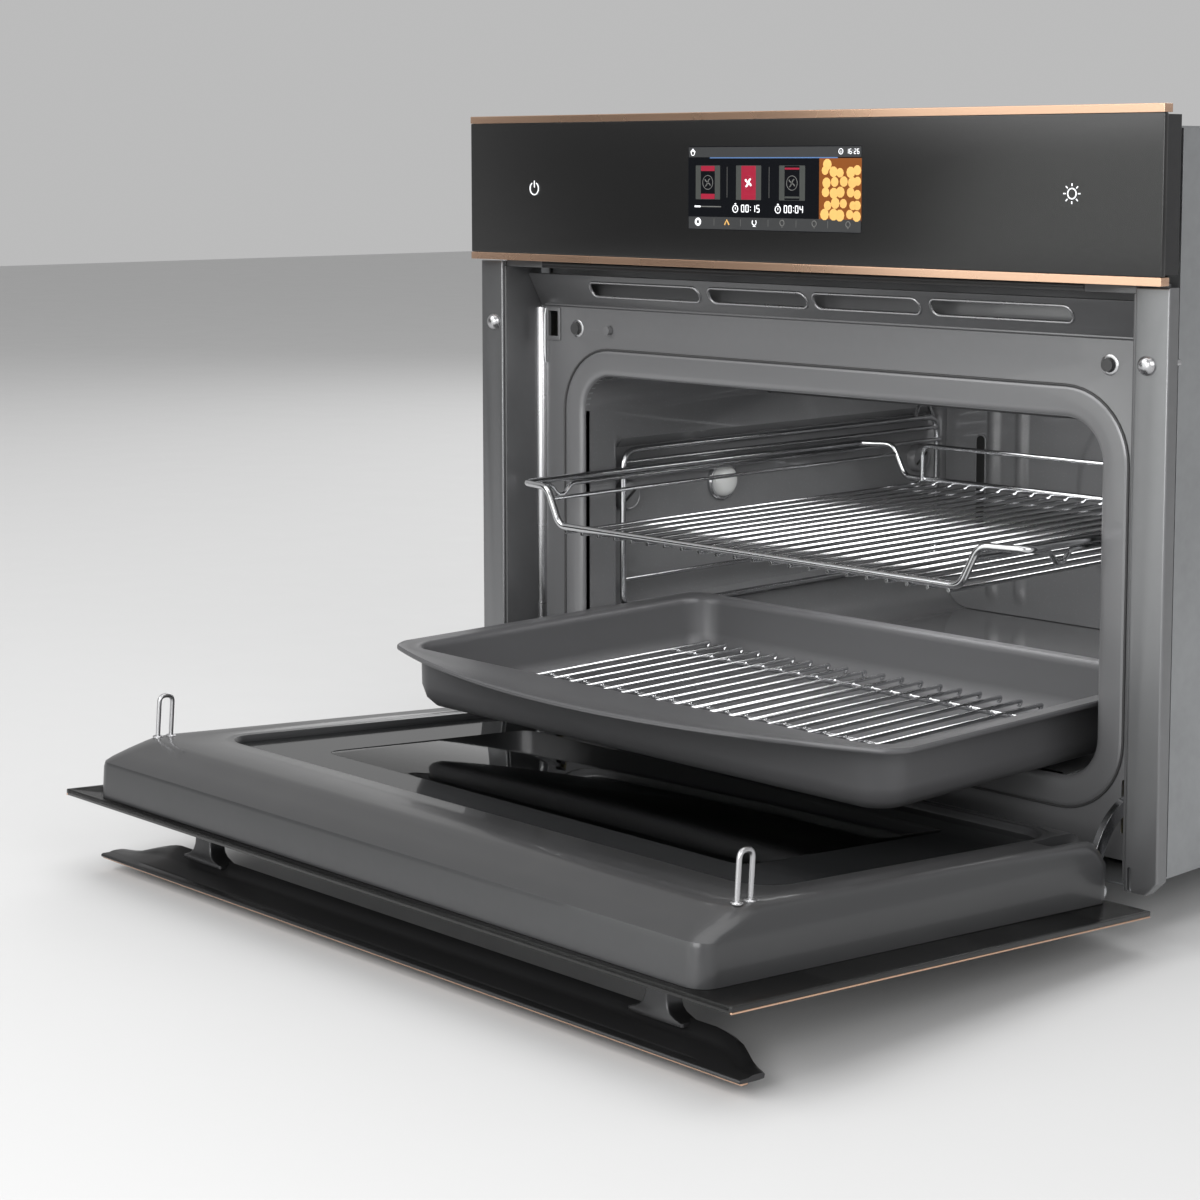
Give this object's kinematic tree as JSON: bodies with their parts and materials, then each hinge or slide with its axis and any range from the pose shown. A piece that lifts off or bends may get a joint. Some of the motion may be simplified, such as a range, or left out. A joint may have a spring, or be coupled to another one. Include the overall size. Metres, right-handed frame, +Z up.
{
  "type": "wall oven",
  "caption": "Compact built-in oven with a drop-down door, black glass control panel, ribbed enamelled cavity, wire shelf on side racks and a deep tray with a wire insert",
  "frame": {"origin": "Middle of the front edge of the base, in the plane where the front frame meets the cabinet, on the underside of the base plate", "axes": "+X to the right seen from the front, +Y from the front to the rear, +Z up"},
  "size_m": [0.597, 0.9159, 0.4874],
  "materials": {
    "zinc": "galvanised sheet, satin",
    "steel": "grey enamel, satin",
    "enamel": "dark grey vitreous enamel, glossy",
    "tray_enamel": "dark vitreous enamel with fine specks",
    "copper": "copper-coloured anodised trim, satin",
    "black_glass": "black-printed glass, polished",
    "clear_glass": "clear tempered glass",
    "chrome": "bright chrome wire",
    "plastic": "black moulded plastic",
    "rubber": "heat-proof seal",
    "board": "circuit board",
    "ceramic": "ceramic",
    "heater": "oxidised heating tube",
    "wool": "mineral wool",
    "dark_metal": "dark steel, satin",
    "screen": "lit display window"
  },
  "bodies": {
    "oven": {"casing_left": "zinc", "casing_right": "zinc", "casing_top": "zinc", "casing_rear": "zinc", "casing_base": "zinc", "face_frame": "steel", "cavity_seal": "rubber", "side_trim_left": "steel", "side_trim_right": "steel", "cabinet_screws": "chrome", "vent_deflector": "steel", "louvre_strip": "plastic", "latch_left": "zinc", "latch_right": "zinc", "door_buffers": "rubber", "panel_glass": "black_glass", "panel_trim_top": "copper", "panel_trim_bottom": "copper", "panel_carrier": "plastic", "display": "screen", "touch_board": "board", "power_board": "board", "terminal_block": "ceramic", "door_switch": "plastic", "cavity_liner": "enamel", "fan_baffle": "enamel", "insulation": "wool", "convection_motor": "zinc", "ring_heater": "heater", "grill_element": "heater", "bottom_element": "heater", "lamp_lens": "clear_glass", "lamp_socket": "ceramic", "temperature_probe": "chrome", "rack_left": "chrome", "rack_right": "chrome", "rack_fixings": "enamel", "cooling_housing": "zinc", "cooling_motor": "zinc", "hinge_arm_left": "chrome", "hinge_arm_right": "chrome", "hinge_pins": "chrome"},
    "door": {"door_glass": "black_glass", "door_panel": "steel", "door_middle_glass": "clear_glass", "door_window": "clear_glass", "door_hooks": "chrome", "door_leaves": "zinc", "handle_bar": "dark_metal", "handle_posts": "dark_metal", "handle_trim": "copper"},
    "shelf": {"shelf_frame": "chrome", "shelf_wires": "chrome"},
    "tray": {"tray_pan": "tray_enamel", "tray_grid": "chrome"},
    "convection_rotor": {"convection_fan": "zinc"},
    "cooling_roller": {"cooling_rotor": "zinc"},
    "plunger": {"switch_plunger": "ceramic"}
  },
  "joints": [
    {"name": "door_hinge", "type": "hinge", "parent": "oven", "child": "door", "pos_m": [0, -0.0128, -0.0026], "axis": [-1, 0, 0], "range_deg": [0, 85.6]},
    {"name": "tray_slide", "type": "slide", "parent": "oven", "child": "tray", "axis": [0, 1, 0], "range_m": [0, 0.3]},
    {"name": "shelf_slide", "type": "slide", "parent": "oven", "child": "shelf", "axis": [0, 1, 0], "range_m": [0, 0.0785]},
    {"name": "convection_spin", "type": "hinge", "parent": "oven", "child": "convection_rotor", "pos_m": [0, 0.46, 0.162], "axis": [0, 1, 0], "continuous": true},
    {"name": "cooling_spin", "type": "hinge", "parent": "oven", "child": "cooling_roller", "pos_m": [0, 0.25, 0.36], "axis": [1, 0, 0], "continuous": true},
    {"name": "switch_press", "type": "slide", "parent": "oven", "child": "plunger", "axis": [0, 1, 0], "range_m": [0, 0.003], "stiffness_N_per_m": 400}
  ],
  "couplings": [
    {"joint": "tray_slide", "follows": "door_hinge", "m_per_rad": 0.20047},
    {"joint": "shelf_slide", "follows": "door_hinge", "m_per_rad": 0.05221}
  ]
}
